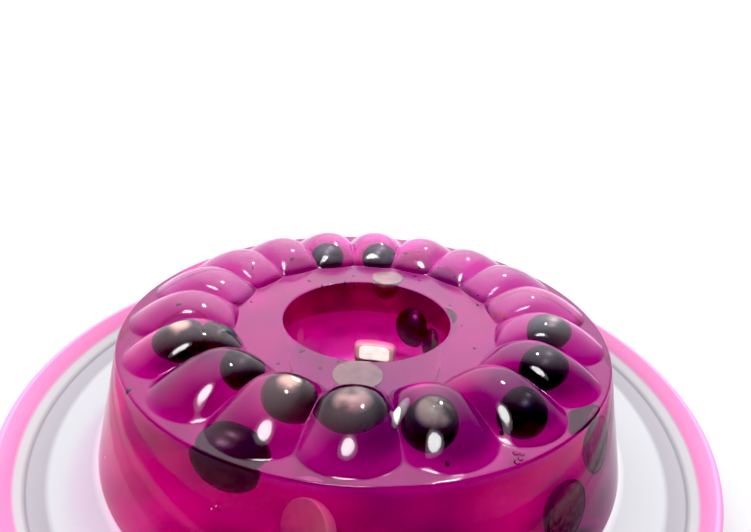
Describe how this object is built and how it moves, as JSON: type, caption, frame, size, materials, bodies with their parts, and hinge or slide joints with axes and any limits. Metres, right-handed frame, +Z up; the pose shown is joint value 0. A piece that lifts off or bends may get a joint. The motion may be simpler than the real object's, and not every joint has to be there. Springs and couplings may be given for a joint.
{
  "type": "fruit pudding",
  "caption": "Clear magenta jelly ring with dark grapes set inside it, a crown of domed lobes and a middle hole, standing on a white plate with a pink rim.",
  "frame": {"origin": "middle of the plate's underside, on the surface it stands on", "axes": "+Z up along the ring's axis, -Y towards the pictured front, where one lobe's middle faces"},
  "size_m": [0.288, 0.288, 0.0626],
  "materials": {
    "plate_glaze": "glossy",
    "jelly": "wet",
    "grape_skin": "satin, with bloom",
    "fruit_flesh": "moist"
  },
  "bodies": {
    "root": {"plate": "plate_glaze", "pudding": "jelly"}
  },
  "joints": []
}
